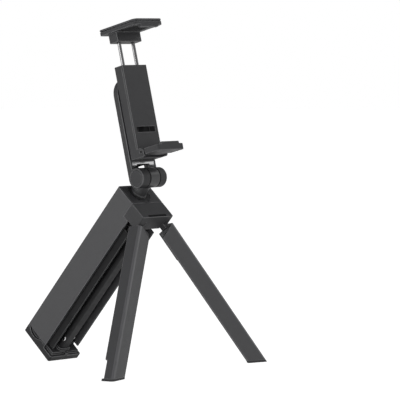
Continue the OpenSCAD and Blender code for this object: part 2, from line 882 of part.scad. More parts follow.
module housing_back() {
    half = housing_w / 2;
    inner = half - housing_wall;
    inside_f = housing_back_f + housing_wall;
    cover_f = housing_front_f - cover_t;
    well_h = housing_low + floor_h;
    color(plastic) at_holder() difference() {
        union() {
            holder_box(-half, half, housing_back_f, cover_f, housing_low, housing_top);
            for (side = [-1, 1]) translate([side > 0 ? half - cheek_t : -half, 0, 0])
                along_x(cheek_t) cheek_outline();
        }
        holder_box(-inner, inner, inside_f, cover_f + over, well_h, housing_top - housing_end_t);
        holder_box(-half + cheek_t, half - cheek_t, jaw_pin_f - jaw_pin_under - gap, far,
                   housing_low - over, well_h - housing_end_t);
        rod_hole(rod_r + run_gap, housing_top - housing_end_t - over, housing_top + over);
        translate([0, -jaw_pin_f, jaw_pin_h]) rod_x(jaw_pin_r, -half - over, half + over);
        translate([0, 0, pivot_up]) rod_y(stud_r, -inside_f - over, -housing_back_f + over);
        for (h = cover_screw_h) translate([0, 0, h]) {
            rod_y(cover_screw_r, -inside_f - over, -housing_back_f + over);
            rod_y(cover_screw_head_r, -housing_back_f - cover_screw_head_t - run_gap, -housing_back_f + over);
        }
    }
    color(plastic) at_holder() for (h = cover_screw_h) translate([0, 0, h]) difference() {
        rod_y(cover_boss_r, -cover_f, -inside_f + run_gap);
        rod_y(cover_screw_r, -cover_f - over, -inside_f + over);
    }
}

module housing_cover() {
    half = housing_w / 2;
    cover_f = housing_front_f - cover_t;
    reach = low_jaw_front_f - jaw_pin_f;
    slot_low = jaw_pin_h + reach - lip_t - gap;
    slot_high = jaw_pin_h + reach + gap;
    color(plastic) at_holder() difference() {
        holder_box(-half, half, cover_f, housing_front_f, cheek_top + run_gap, housing_top);
        holder_box(-lip_w / 2 - gap, lip_w / 2 + gap, cover_f - over, housing_front_f + over,
                   slot_low, slot_high);
        for (h = cover_screw_h) translate([0, 0, h])
            rod_y(cover_screw_r, -cover_f - cover_screw_bite, -cover_f + over);
    }
}

module cover_screws() {
    cover_f = housing_front_f - cover_t;
    head = -housing_back_f - run_gap;
    color(steel) at_holder() for (h = cover_screw_h) translate([0, 0, h]) difference() {
        union() {
            rod_y(cover_screw_r, -cover_f - cover_screw_bite, head);
            rod_y(cover_screw_head_r, head - cover_screw_head_t, head);
        }
        rod_y(cover_screw_r / 2, head - cover_screw_head_t / 2, head + over);
    }
}

module pivot_stud() {
    inside_f = housing_back_f + housing_wall;
    head = barrel_r - stud_sink;
    color(steel) at_holder() translate([0, 0, pivot_up]) {
        rod_y(stud_r, -inside_f, head);
        rod_y(stud_head_r, head - stud_head_t, head);
        rod_y(stud_head_r, -inside_f - run_gap * 10, -inside_f);
    }
}

module jaw_pin() {
    half = housing_w / 2 - run_gap * 4;
    color(steel) at_holder() translate([0, -jaw_pin_f, jaw_pin_h]) rod_x(jaw_pin_r, -half, half);
}

module jaw_spring(side) {
    low = rod_foot_h + collar_t + collar_rise + run_gap;
    high = housing_top - housing_end_t - run_gap;
    color(steel) at_holder() translate([side * rod_span / 2, -rod_f, low]) difference() {
        cylinder(r = spring_coil_r, h = high - low);
        translate([0, 0, -over]) cylinder(r = spring_coil_r - spring_coil_wire, h = high - low + 2 * over);
    }
}

module jaw_spring_left() {
    jaw_spring(-1);
}

module jaw_spring_right() {
    jaw_spring(1);
}

// Upper jaw

module up_jaw_outline() {
    round_rect([-jaw_w / 2, -jaw_front_f], [jaw_w / 2, -up_jaw_back_f],
               [jaw_corner, jaw_corner, jaw_corner / 2, jaw_corner / 2]);
}

module jaw_block() {
    half = housing_w / 2;
    color(plastic) at_holder() difference() {
        union() {
            translate([0, 0, up_jaw_low]) linear_extrude(jaw_t - jaw_cap_t) up_jaw_outline();
            holder_box(-half, half, housing_back_f, housing_front_f,
                       up_jaw_low - jaw_block_h, up_jaw_low + over / 2);
            holder_box(-lip_w / 2, lip_w / 2, jaw_front_f - lip_t, jaw_front_f,
                       up_jaw_low - lip_h, up_jaw_low + over / 2);
        }
        rod_hole(rod_r, up_jaw_low - jaw_block_h - over, up_jaw_low - jaw_block_h + rod_seat);
        holder_box(-pad_w / 2, pad_w / 2, housing_front_f + pad_edge, jaw_front_f - lip_t - pad_edge,
                   up_jaw_low - over, up_jaw_low + pad_t);
    }
}

module jaw_cap() {
    low = up_jaw_low + jaw_t - jaw_cap_t;
    color(plastic) at_holder() difference() {
        translate([0, 0, low]) linear_extrude(jaw_cap_t) up_jaw_outline();
        translate([0, 0, low - over]) linear_extrude(jaw_parting + over) difference() {
            translate([-far / 2, -far / 2]) square(far);
            round_rect([-jaw_w / 2 + jaw_parting_deep, -jaw_front_f + jaw_parting_deep],
                       [jaw_w / 2 - jaw_parting_deep, -up_jaw_back_f - jaw_parting_deep],
                       [jaw_corner, jaw_corner, jaw_corner / 2, jaw_corner / 2]);
        }
    }
}

module upper_pad() {
    color(rubber) at_holder()
        holder_box(-pad_w / 2, pad_w / 2, housing_front_f + pad_edge, jaw_front_f - lip_t - pad_edge,
                   up_jaw_low, up_jaw_low + pad_t);
}

module rod(side) {
    top = up_jaw_low - jaw_block_h + rod_seat;
    color(steel) at_holder() translate([side * rod_span / 2, -rod_f, rod_foot_h])
        cylinder(r = rod_r, h = top - rod_foot_h);
}

module rod_left() {
    rod(-1);
}

module rod_right() {
    rod(1);
}

module rod_collars() {
    color(steel) at_holder() difference() {
        rod_hole(collar_r, rod_foot_h, rod_foot_h + collar_t);
        rod_hole(rod_r, rod_foot_h - over, rod_foot_h + collar_t + over);
    }
}

// Lower jaw, which folds up against the housing about its pin

module lower_jaw() {
    low = low_jaw_top - low_jaw_t;
    color(plastic) at_holder() difference() {
        union() {
            translate([0, 0, low]) linear_extrude(low_jaw_t)
                round_rect([-low_jaw_w / 2, -low_jaw_front_f], [low_jaw_w / 2, -root_front],
                           [jaw_corner / 2, jaw_corner / 2, 0, 0]);
            holder_box(-root_half, root_half, jaw_pin_f, root_front + run_gap, low, low_jaw_top);
            translate([0, -jaw_pin_f, jaw_pin_h]) rod_x(jaw_pin_under, -root_half, root_half);
            holder_box(-lip_w / 2, lip_w / 2, low_jaw_front_f - lip_t, low_jaw_front_f,
                       low_jaw_top - over / 2, low_jaw_top + lip_h);
        }
        translate([0, -jaw_pin_f, jaw_pin_h]) rod_x(jaw_pin_r + run_gap, -root_half - over, root_half + over);
        holder_box(-pad_w / 2, pad_w / 2, root_front + pad_edge, low_jaw_front_f - lip_t - pad_edge,
                   low_jaw_top - pad_t, low_jaw_top + over);
    }
}

module lower_pad() {
    color(rubber) at_holder()
        holder_box(-pad_w / 2, pad_w / 2, root_front + pad_edge, low_jaw_front_f - lip_t - pad_edge,
                   low_jaw_top - pad_t, low_jaw_top);
}

body_shell();
end_cap();
head_block();
guide_rail();
rail_posts();
rail_screws();
spring_post();
clamp_spring();
hinge_pin_left();
hinge_pin_right();
clamp_bar();
clamp_foot();
grip_pad();
foot_pin();
spring_hook();
leg_left();
leg_knuckle_left();
toe_left();
leg_right();
leg_knuckle_right();
toe_right();
neck_post();
swivel_washer();
swivel_screw();
arm_plate();
tilt_bolt();
tilt_nut();
bolt_cap();
brake_plate();
pivot_washer();
housing_back();
housing_cover();
cover_screws();
pivot_stud();
jaw_pin();
jaw_spring_left();
jaw_spring_right();
jaw_block();
jaw_cap();
upper_pad();
rod_left();
rod_right();
rod_collars();
lower_jaw();
lower_pad();
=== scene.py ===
# Folding phone stand: finishes, softened edges, springs, ribbed pads, studio and camera
import json
import math
import bmesh
import bpy
from mathutils import Matrix, Vector
from mathutils.bvhtree import BVHTree


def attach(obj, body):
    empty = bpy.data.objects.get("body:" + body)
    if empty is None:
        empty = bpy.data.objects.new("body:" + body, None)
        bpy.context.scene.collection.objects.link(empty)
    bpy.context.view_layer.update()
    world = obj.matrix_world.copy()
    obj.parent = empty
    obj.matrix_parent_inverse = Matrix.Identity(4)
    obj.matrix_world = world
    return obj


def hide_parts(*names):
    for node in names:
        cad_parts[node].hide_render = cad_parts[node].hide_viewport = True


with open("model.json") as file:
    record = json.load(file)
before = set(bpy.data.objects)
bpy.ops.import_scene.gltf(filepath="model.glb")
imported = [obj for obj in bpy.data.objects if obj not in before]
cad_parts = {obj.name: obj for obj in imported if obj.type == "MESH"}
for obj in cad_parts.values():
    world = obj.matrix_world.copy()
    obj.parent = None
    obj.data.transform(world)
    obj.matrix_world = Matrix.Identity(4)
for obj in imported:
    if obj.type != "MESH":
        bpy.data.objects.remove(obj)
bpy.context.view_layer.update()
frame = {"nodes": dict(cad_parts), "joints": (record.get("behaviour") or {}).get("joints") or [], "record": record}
record = frame["record"]
SLOT_OF = {s["node"]: s["material_slot"] for s in record["subparts"]}
BODY_OF = {n: b for b, nodes in record["behaviour"]["bodies"].items() for n in nodes}
JOINTS = {joint["name"]: joint for joint in frame["joints"]}

# One millimetre in the scene's metres. The stand's sizes are in millimetres, and the studio's and the
# camera's in metres
MM = 0.001

# The photograph's camera: its place, its turn in degrees, and its lens and sensor in millimetres
CAMERA_AT = (-1.256378, -1.201962, 0.186777)
CAMERA_YAW = -48.0
CAMERA_PITCH = 2.9051
CAMERA_ROLL = -0.5006
CAMERA_LENS = 261.0
CAMERA_CHIP = 36


# Leaning frames

def lean_of(joint):
    """How far a joint's axis leans from upright about X, in radians."""
    axis = JOINTS[joint]["axis"]
    return math.atan2(-axis[1], axis[2])


def leaning_frame(pivot, lean):
    """A frame in millimetres at a joint's point, with X across the stand and Z leaning as said."""
    at = Matrix.Translation(JOINTS[pivot]["pos_m"])
    return at @ Matrix.Rotation(lean, 4, "X") @ Matrix.Scale(MM, 4)


BODY_LEAN = lean_of("neck_swivel")
HOLDER_LEAN = lean_of("upper_jaw_slide")
BODY = leaning_frame("neck_swivel", BODY_LEAN)
HOLDER = leaning_frame("head_tilt", HOLDER_LEAN)


def span(node, place):
    """The lowest and the highest corner of a CAD node in the frame place."""
    back = place.inverted()
    points = [back @ v.co for v in frame["nodes"][node].data.vertices]
    return (Vector(min(p[i] for p in points) for i in range(3)),
            Vector(max(p[i] for p in points) for i in range(3)))


# Node trees

# The middle of a noise texture's values
NOISE_MIDDLE = 0.5
# How much the specks of a grain add to its height
SPECK_SHARE = 0.5


def put(tree, kind, at, inputs=None, **settings):
    """Adds a node. Each of its inputs is given a plain value or another node's output."""
    node = tree.nodes.new(kind)
    node.location = at
    for key, value in settings.items():
        setattr(node, key, value)
    for key, value in (inputs or {}).items():
        if isinstance(value, bpy.types.NodeSocket):
            tree.links.new(value, node.inputs[key])
        else:
            node.inputs[key].default_value = value
    return node


def maths(tree, operation, at, *values):
    """A Math node over plain values and other nodes' outputs."""
    return put(tree, "ShaderNodeMath", at, dict(enumerate(values)), operation=operation).outputs[0]


def texture(tree, kind, output, at, vector, **inputs):
    """A procedural texture on the given coordinates."""
    return put(tree, "ShaderNodeTex" + kind, at, {"Vector": vector, **inputs}).outputs[output]


def named_sockets(tree, way, rows):
    """Makes a group's inputs or outputs from rows of name, kind and value."""
    for name, kind, value in rows:
        made = tree.interface.new_socket(name=name, in_out=way, socket_type="NodeSocket" + kind)
        if value is not None:
            made.default_value = value


def finish_group(name, rows):
    """An empty group for a finish, with its inputs' node and the object's own coordinates."""
    tree = bpy.data.node_groups.new(name, "ShaderNodeTree")
    named_sockets(tree, "INPUT", rows)
    named_sockets(tree, "OUTPUT", [("Colour", "Color", None), ("Roughness", "Float", None),
                                   ("Normal", "Vector", None)])
    given = put(tree, "NodeGroupInput", (-1100, 0)).outputs
    coordinates = put(tree, "ShaderNodeTexCoord", (-1100, -300)).outputs["Object"]
    return tree, given, coordinates


def close_group(tree, given, cloud, gloss, height, depth):
    """Ends a finish: cloud shifts its colour, gloss its roughness, and height makes its bump."""
    shift = maths(tree, "SUBTRACT", (-350, 250), cloud, NOISE_MIDDLE)
    level = maths(tree, "MULTIPLY_ADD", (-100, 250), shift, given["Drift"], 1)
    tint = put(tree, "ShaderNodeHueSaturation", (150, 250), {"Value": level, "Color": given["Colour"]})
    uneven = maths(tree, "MULTIPLY_ADD", (-80, 0), gloss, given["Unevenness"], given["Roughness"])
    bump = put(tree, "ShaderNodeBump", (150, -300), {"Height": height, "Distance": depth})
    put(tree, "NodeGroupOutput", (500, 0),
        {"Colour": tint.outputs["Color"], "Roughness": uneven, "Normal": bump.outputs["Normal"]})
    return tree


def grain_group():
    """Fine moulded or blasted grain: colour that drifts a little, uneven gloss and a shallow bump."""
    tree, given, coordinates = finish_group("fine_grain", [
        ("Colour", "Color", (0.03, 0.03, 0.03, 1)),
        ("Drift", "Float", 0.12),
        ("Grain size", "Float", 2600),
        ("Grain depth", "Float", 0.00002),
        ("Roughness", "Float", 0.45),
        ("Unevenness", "Float", 0.08)])
    broad = texture(tree, "Noise", "Fac", (-600, 250), coordinates, Scale=70, Detail=4)
    smudge = texture(tree, "Noise", "Fac", (-600, 0), coordinates, Scale=180, Detail=6, Distortion=0.6)
    fine = texture(tree, "Noise", "Fac", (-600, -250), coordinates, Scale=given["Grain size"], Detail=3,
                   Roughness=0.6)
    speck = texture(tree, "Voronoi", "Distance", (-600, -520), coordinates, Scale=given["Grain size"])
    patches = {"Value": smudge, "From Min": 0.3, "From Max": 0.7, "To Min": -0.5, "To Max": 1}
    gloss = put(tree, "ShaderNodeMapRange", (-300, 0), patches).outputs["Result"]
    height = maths(tree, "MULTIPLY_ADD", (-300, -300), speck, SPECK_SHARE, fine)
    return close_group(tree, given, broad, gloss, height, given["Grain depth"])


def lines_group():
    """Drawn or turned metal: fine lines along one direction, with the gloss broken up along them."""
    tree, given, coordinates = finish_group("drawn_lines", [
        ("Colour", "Color", (0.6, 0.6, 0.6, 1)),
        ("Drift", "Float", 0.1),
        ("Stretch", "Vector", (4000, 4000, 60)),
        ("Turn", "Vector", (0, 0, 0)),
        ("Depth", "Float", 0.000008),
        ("Roughness", "Float", 0.25),
        ("Unevenness", "Float", 0.12)])
    turned = put(tree, "ShaderNodeVectorRotate", (-900, -200),
                 {"Vector": coordinates, "Rotation": given["Turn"]}, rotation_type="EULER_XYZ").outputs[0]
    drawn = put(tree, "ShaderNodeVectorMath", (-750, -200), {0: turned, 1: given["Stretch"]},
                operation="MULTIPLY").outputs[0]
    lines = texture(tree, "Noise", "Fac", (-600, -200), drawn, Scale=1, Detail=4)
    cloud = texture(tree, "Noise", "Fac", (-600, 250), coordinates, Scale=120)
    gloss = maths(tree, "SUBTRACT", (-300, 0), lines, NOISE_MIDDLE)
    return close_group(tree, given, cloud, gloss, lines, given["Depth"])


GRAIN = grain_group()
LINES = lines_group()


# Finishes

def material(name, group, values, **shader):
    """A material that takes its colour, gloss and bump from a finish's group."""
    made = bpy.data.materials.new(name)
    made.use_nodes = True
    tree = made.node_tree
    finish = put(tree, "ShaderNodeGroup", (-400, 0), values, node_tree=group)
    surface = tree.nodes["Principled BSDF"]
    for key, value in shader.items():
        surface.inputs[key.replace("_", " ")].default_value = value
    for ours, theirs in (("Colour", "Base Color"), ("Roughness", "Roughness"), ("Normal", "Normal")):
        tree.links.new(finish.outputs[ours], surface.inputs[theirs])
    return made


# How much bluer than plain grey the moulded and blasted finishes are, and the metal ones
GRAIN_COOL = 1.04
METAL_COOL = 1.01


def grey(level, cool):
    """A grey whose blue is cool times its red and green."""
    return (level, level, level * cool, 1)


def grain(name, level, rough, size, depth, drift, uneven, **shader):
    """A moulded or blasted finish, its grain size in cells to the metre and its depth in metres."""
    values = {"Colour": grey(level, GRAIN_COOL), "Drift": drift, "Grain size": size, "Grain depth": depth,
              "Roughness": rough, "Unevenness": uneven}
    return material(name, GRAIN, values, **shader)


def lined(name, level, rough, stretch, turn, depth, **shader):
    """A metal finish, its stretch in lines to the metre along X, Y and Z once it is turned."""
    values = {"Colour": grey(level, METAL_COOL), "Stretch": stretch, "Turn": turn, "Depth": depth,
              "Roughness": rough}
    return material(name, LINES, values, **shader)


# Settings that several finishes share
MOULDED = {"size": 2400, "drift": 0.12, "uneven": 0.08}
# The lighter edges' grain: wear together with a painted highlight
EDGE_WEAR_AND_SHEEN = {"size": 2400, "depth": 0.00001, "drift": 0.2, "uneven": 0.1}
SHADED = {"size": 1900, "drift": 0.2, "uneven": 0.1}
SOFT = {"size": 1500, "uneven": 0.1, "Specular_IOR_Level": 0.3}
TURNED = {"stretch": (5000, 60, 5000), "turn": (-BODY_LEAN, 0, 0), "depth": 0.000008}
DRAWN = {"stretch": (3500, 3500, 40), "turn": (-HOLDER_LEAN, 0, 0), "depth": 0.000004, "Metallic": 1.0}

# Each finish is a face and an edge painted lighter: partly wear from handling, partly a painted highlight along
# the softened edges
FINISH = {
    "anodised": (
        grain("anodised_face", level=0.05, rough=0.46, size=3800, depth=0.000012, drift=0.08,
              uneven=0.05, Specular_IOR_Level=0.28),
        grain("anodised_edge", level=0.085, rough=0.38, size=3800, depth=0.000008, drift=0.15,
              uneven=0.08)),
    "casing": (
        grain("casing_face", level=0.039, rough=0.5, depth=0.00002, Specular_IOR_Level=0.16, **MOULDED),
        grain("casing_edge", level=0.06, rough=0.42, **EDGE_WEAR_AND_SHEEN)),
    "bar": (
        grain("bar_face", level=0.023, rough=0.5, depth=0.00002, Specular_IOR_Level=0.12, **MOULDED),
        grain("bar_edge", level=0.06, rough=0.4, **EDGE_WEAR_AND_SHEEN)),
    "barrel": (
        grain("barrel_face", level=0.034, rough=0.34, depth=0.00001, Specular_IOR_Level=0.4, **MOULDED),
        grain("barrel_edge", level=0.055, rough=0.36, **EDGE_WEAR_AND_SHEEN)),
    "inner": (
        grain("inner_face", level=0.011, rough=0.62, depth=0.00002, Specular_IOR_Level=0.12, **SHADED),
        grain("inner_edge", level=0.05, rough=0.5, depth=0.00001, Specular_IOR_Level=0.35, **SHADED)),
    "steel": (
        lined("turned_steel", level=0.6, rough=0.3, Metallic=1.0, **TURNED),
        lined("turned_steel_edge", level=0.72, rough=0.22, Metallic=1.0, **TURNED)),
    "black_steel": (
        lined("black_steel", level=0.03, rough=0.4, Metallic=0.6, **TURNED),
        lined("black_steel_edge", level=0.08, rough=0.32, Metallic=0.8, **TURNED)),
    "plated": (
        lined("plated_face", level=0.6, rough=0.16, **DRAWN),
        lined("plated_edge", level=0.7, rough=0.12, **DRAWN)),
    "rod": (
        lined("rod_face", level=0.16, rough=0.2, **DRAWN),
        lined("rod_edge", level=0.3, rough=0.18, **DRAWN)),
    "toe": (
        grain("toe_face", level=0.03, rough=0.7, depth=0.00004, drift=0.2, **SOFT),
        grain("toe_edge", level=0.05, rough=0.6, depth=0.00003, drift=0.2, **SOFT)),
}
RUBBER = grain("rubber_face", level=0.014, rough=0.78, depth=0.00005, drift=0.3, **SOFT)
# The anodised edge finish, also painted on whole faces as painted light: a highlight along the legs' corners and
# the lit inside of the rail
ANODISED_LIGHT_PAINT = FINISH["anodised"][1]
CASING_FACE = FINISH["casing"][0]
SHADE = FINISH["inner"][0]
STEEL_FACE, STEEL_EDGE = FINISH["steel"]


# Pieces

def new_object(name, data):
    """Puts an object with a mesh, curve, lamp or camera into the scene."""
    obj = bpy.data.objects.new(name, data)
    bpy.context.scene.collection.objects.link(obj)
    return obj


def plain_mesh(obj):
    """The mesh that obj's modifiers or bevelled curve make."""
    graph = bpy.context.evaluated_depsgraph_get()
    graph.update()
    made = bpy.data.meshes.new_from_object(obj.evaluated_get(graph))
    made.name = obj.name
    return made


def settle(obj):
    """Applies obj's modifiers to its mesh."""
    made = plain_mesh(obj)
    obj.modifiers.clear()
    obj.data = made


def shade_smooth(mesh):
    for p in mesh.polygons:
        p.use_smooth = True


def mesh_from(bm, name):
    """Turns bm into a smooth mesh and frees it."""
    mesh = bpy.data.meshes.new(name)
    bm.to_mesh(mesh)
    bm.free()
    shade_smooth(mesh)
    return mesh


def finish_piece(obj, node, replaces=True):
    """Rides obj with a node's body. Unless it is an extra, the node is hidden in its stead."""
    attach(obj, BODY_OF[node])
    if replaces:
        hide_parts(node)


def bar_mesh(name, size, soft):
    """A bar about its own centre, its edges rounded by soft."""
    bm = bmesh.new()
    bmesh.ops.create_cube(bm, size=1)
    bmesh.ops.scale(bm, vec=size, verts=bm.verts)
    bmesh.ops.bevel(bm, geom=list(bm.edges), offset=soft, segments=3, profile=0.5, affect="EDGES")
    return mesh_from(bm, name)


# A dome's rings, from its foot up, as shares of its radius and its height, and the sides of each ring
DOME_RINGS = ((1, 0), (1, 0.35), (0.93, 0.62), (0.75, 0.85), (0.45, 0.97))
DOME_SIDES = 32


def dome_mesh(name, radius, height):
    """A pin's head or a stud: a low dome on a short rim."""
    bm = bmesh.new()
    corners = [2 * math.pi * i / DOME_SIDES for i in range(DOME_SIDES)]
    rings = []
    for out, up in DOME_RINGS:
        r = radius * out
        rings.append([bm.verts.new((r * math.cos(a), r * math.sin(a), height * up)) for a in corners])
    for one, two in zip(rings, rings[1:]):
        for i in range(DOME_SIDES):
            after = (i + 1) % DOME_SIDES
            bm.faces.new((one[i], one[after], two[after], two[i]))
    bm.faces.new(rings[-1])
    bm.faces.new(list(reversed(rings[0])))
    return mesh_from(bm, name)


# Faces of a skin that take another finish

# The wrist loop's slot, below the head's end face: its half width, its depths and its floor
SLOT_HALF = 8.5
SLOT_DEPTHS = (0.42, 2.1)
SLOT_FLOOR = 2.5
# The joins beside the barrel's knuckle: their place across and the ring that they lie in
SEAM_OUT = 6
SEAM_RING = (5, 6.2)
# The least share of a normal that counts as turned to a side, and the most that counts as square to it
TURNED_TO = 0.12
SQUARE_TO = 0.1
# How far from the stand's middle a face of the rail that looks inwards is at least
INWARD = 1


def slot_rim(polygons):
    """The softened edges of the wrist loop's slot, which stay in shade."""
    back = BODY.inverted()
    low, high = span("head_block", BODY)
    near, far = (low.y + depth for depth in SLOT_DEPTHS)
    places = [(p, back @ p.center) for p in polygons if p.material_index == 1]
    return [p for p, at in places
            if abs(at.x) < SLOT_HALF and near < at.y < far and at.z > high.z - SLOT_FLOOR]


def barrel_seams(polygons):
    """The softened edges between the knuckle and the ears round the barrel, which lie in shade."""
    back = HOLDER.inverted()
    places = [(p, back @ p.center) for p in polygons if p.material_index == 1]
    return [p for p, at in places
            if abs(at.x) < SEAM_OUT and SEAM_RING[0] < math.hypot(at.y, at.z) < SEAM_RING[1]]


def leg_corner_highlight(polygons):
    """The faces that round a leg's outer corner, opposite its two broadest, inner faces, which take a painted
    highlight.
    """
    areas = {}
    for p in polygons:
        key = tuple(round(v, 2) for v in p.normal)
        areas[key] = areas.get(key, 0) + p.area
    outward = [-Vector(key) for key in sorted(areas, key=areas.get, reverse=True)]
    one = outward[0]
    two = next(v for v in outward if abs(v.dot(one)) < SQUARE_TO)
    along = one.cross(two).normalized()
    return [p for p in polygons
            if min(p.normal.dot(one), p.normal.dot(two)) > TURNED_TO
            and abs(p.normal.dot(along)) < SQUARE_TO]


def lit_rail_inside(polygons):
    """The rail's faces towards the bar, painted lighter in the anodised edge finish as painted light."""
    return [p for p in polygons if p.normal.x * p.center.x < -INWARD * MM]


def pin_right(polygons):
    """The right half of the foot's pin, which takes the casing's dark face, so that the pin shows bright at its
    left end only.
    """
    return [p for p in polygons if p.center.x > 0]


# Skins

# Points of the CAD mesh closer than this are one, and edges flatter than this many degrees go
MERGED = 0.0005
FLAT = 0.4
# An edge sharper than this many degrees is softened
SHARP = 28
# How strongly a broad face holds its shading against a narrow one
FACE_WEIGHT = 80
# How far a point may stand proud of the solid
STRAY = 0.02
# How far a cutter's own edges are rounded
CUTTER_SOFT = 0.05


def cutter(obj, place, middle, size):
    """Takes a box, given in the frame place, out of obj."""
    box = new_object(obj.name + "_cutter", bar_mesh(obj.name + "_cut", size, CUTTER_SOFT))
    box.data.transform(Matrix.Scale(1 / MM, 4) @ place @ Matrix.Translation(middle))
    box.data.materials.append(obj.data.materials[0])
    cut = obj.modifiers.new("cut", "BOOLEAN")
    cut.operation = "DIFFERENCE"
    cut.solver = "EXACT"
    cut.object = box
    return box


def keep_inside(mesh, surface, reach):
    """Brings back each point that a softened edge has thrown out of the solid, or past its own reach."""
    for v in mesh.vertices:
        near, facing, face, far = surface.find_nearest(v.co)
        if far > reach or (far > STRAY and (v.co - near).dot(facing) > 0):
            v.co = near


def dress(node, edge, segments, finish, cuts, paint):
    """A machined or moulded skin over a solid: the same form with its edges softened."""
    mesh = frame["nodes"][node].data.copy()
    mesh.transform(Matrix.Scale(1 / MM, 4))
    bm = bmesh.new()
    bm.from_mesh(mesh)
    bmesh.ops.remove_doubles(bm, verts=bm.verts, dist=MERGED)
    bmesh.ops.dissolve_limit(bm, angle_limit=math.radians(FLAT), verts=bm.verts, edges=bm.edges)
    surface = BVHTree.FromBMesh(bm)
    bm.to_mesh(mesh)
    bm.free()
    mesh.materials.clear()
    for look in FINISH[finish]:
        mesh.materials.append(look)
    for p in mesh.polygons:
        p.material_index = 0
    shade_smooth(mesh)
    obj = new_object(node + "_skin", mesh)
    cutters = [cutter(obj, *cut) for cut in cuts]
    bevel = obj.modifiers.new("edges", "BEVEL")
    bevel.width = edge
    bevel.segments = segments
    bevel.limit_method = "ANGLE"
    bevel.angle_limit = math.radians(SHARP)
    bevel.use_clamp_overlap = False
    bevel.miter_outer = "MITER_ARC"
    # The softened edges take the lighter edge finish: partly wear, partly a painted highlight
    bevel.material = 1
    weigh = obj.modifiers.new("weights", "WEIGHTED_NORMAL")
    weigh.keep_sharp = False
    weigh.weight = FACE_WEIGHT
    settle(obj)
    keep_inside(obj.data, surface, math.inf if cuts else edge)
    for one in cutters:
        bpy.data.objects.remove(one)
    obj.data.transform(Matrix.Scale(MM, 4))
    if paint:
        look, pick = paint
        obj.data.materials.append(look)
        for p in pick(obj.data.polygons):
            p.material_index = 2
    finish_piece(obj, node)


# How far each skin's edges are softened
EDGES = {
    "body_shell": 0.3, "end_cap": 0.2, "head_block": 0.35, "guide_rail": 0.2, "rail_posts": 0.2,
    "rail_screws": 0.12, "spring_post": 0.2, "hinge_pin_left": 0.15, "hinge_pin_right": 0.15,
    "clamp_bar": 0.6, "clamp_foot": 0.4, "foot_pin": 0.25, "spring_hook": 0.25,
    "leg_left": 0.35, "leg_right": 0.35, "leg_knuckle_left": 0.3, "leg_knuckle_right": 0.3,
    "toe_left": 0.2, "toe_right": 0.2,
    "neck_post": 0.3, "swivel_washer": 0.15, "swivel_screw": 0.25,
    "arm_plate": 0.45, "tilt_bolt": 0.2, "tilt_nut": 0.2, "bolt_cap": 0.25, "brake_plate": 0.15,
    "pivot_washer": 0.08,
    "housing_back": 0.4, "housing_cover": 0.35, "cover_screws": 0.12, "pivot_stud": 0.2, "jaw_pin": 0.15,
    "jaw_block": 0.35, "jaw_cap": 0.35, "rod_left": 0.15, "rod_right": 0.15, "rod_collars": 0.15,
    "lower_jaw": 0.4,
}
# Steps across a softened edge
STEPS = {"clamp_bar": 4}
PLAIN_STEPS = 3
# Skins whose finish isn't the one of their slot
OWN_FINISH = {
    # The jaw pin takes the dark inner finish as painted shade, so that its end reads as a dark hole
    "neck_post": "barrel", "clamp_bar": "bar", "clamp_foot": "bar", "jaw_pin": "inner",
    "hinge_pin_left": "black_steel", "hinge_pin_right": "black_steel",
    "rod_left": "rod", "rod_right": "rod", "toe_left": "toe", "toe_right": "toe",
}
# Skins with some faces in another finish, most of them painted shade or painted light
PAINT = {
    "head_block": (SHADE, slot_rim),
    "neck_post": (SHADE, barrel_seams),
    "arm_plate": (SHADE, barrel_seams),
    "leg_left": (ANODISED_LIGHT_PAINT, leg_corner_highlight),
    "leg_right": (ANODISED_LIGHT_PAINT, leg_corner_highlight),
    "guide_rail": (ANODISED_LIGHT_PAINT, lit_rail_inside),
    "foot_pin": (CASING_FACE, pin_right),
}
# The notch in the end cap beside the hinge block: its size, and its middle to the side, in from the cap's
# front and below its end face
NOTCH = (3.2, 1.3, 2.4)
NOTCH_ASIDE = -0.2
NOTCH_IN = 0.75
NOTCH_UNDER = 0.1
cap_low, cap_high = span("end_cap", BODY)
CUTS = {"end_cap": [(BODY, (NOTCH_ASIDE, cap_low.y + NOTCH_IN, cap_high.z - NOTCH_UNDER), NOTCH)]}

for node, edge in EDGES.items():
    dress(node, edge, STEPS.get(node, PLAIN_STEPS), OWN_FINISH.get(node, SLOT_OF[node]),
          CUTS.get(node, ()), PAINT.get(node))


# Springs, hidden in the shell and in the holder

# Points in one turn, the turns closed up at each end, and their pitch in widths of the wire
TURN_STEPS = 20
CLOSED_TURNS = 1.5
CLOSED_PITCH = 1.1


def coil(name, node, place, radius, wire, turns):
    """A coil spring of round wire between a node's ends along the frame's Z."""
    low, high = span(node, place)
    middle = (low + high) / 2
    first, last = low.z + wire, high.z - wire
    closed = CLOSED_TURNS * CLOSED_PITCH * 2 * wire
    pitch = (last - first - 2 * closed) / (turns - 2 * CLOSED_TURNS)
    curve = bpy.data.curves.new(name, "CURVE")
    curve.dimensions = "3D"
    curve.bevel_depth = wire
    curve.bevel_resolution = 3
    curve.use_fill_caps = True
    curve.materials.append(STEEL_FACE)
    spline = curve.splines.new("POLY")
    steps = turns * TURN_STEPS
    spline.points.add(steps)
    for i in range(steps + 1):
        t = i / TURN_STEPS
        if t < CLOSED_TURNS:
            z = first + closed * t / CLOSED_TURNS
        elif t > turns - CLOSED_TURNS:
            z = last - closed * (turns - t) / CLOSED_TURNS
        else:
            z = first + closed + pitch * (t - CLOSED_TURNS)
        a = 2 * math.pi * t
        spline.points[i].co = (middle.x + radius * math.cos(a), middle.y + radius * math.sin(a), z, 1)
    drawn = new_object(name, curve)
    mesh = plain_mesh(drawn)
    bpy.data.objects.remove(drawn)
    shade_smooth(mesh)
    mesh.transform(place)
    finish_piece(new_object(name, mesh), node)


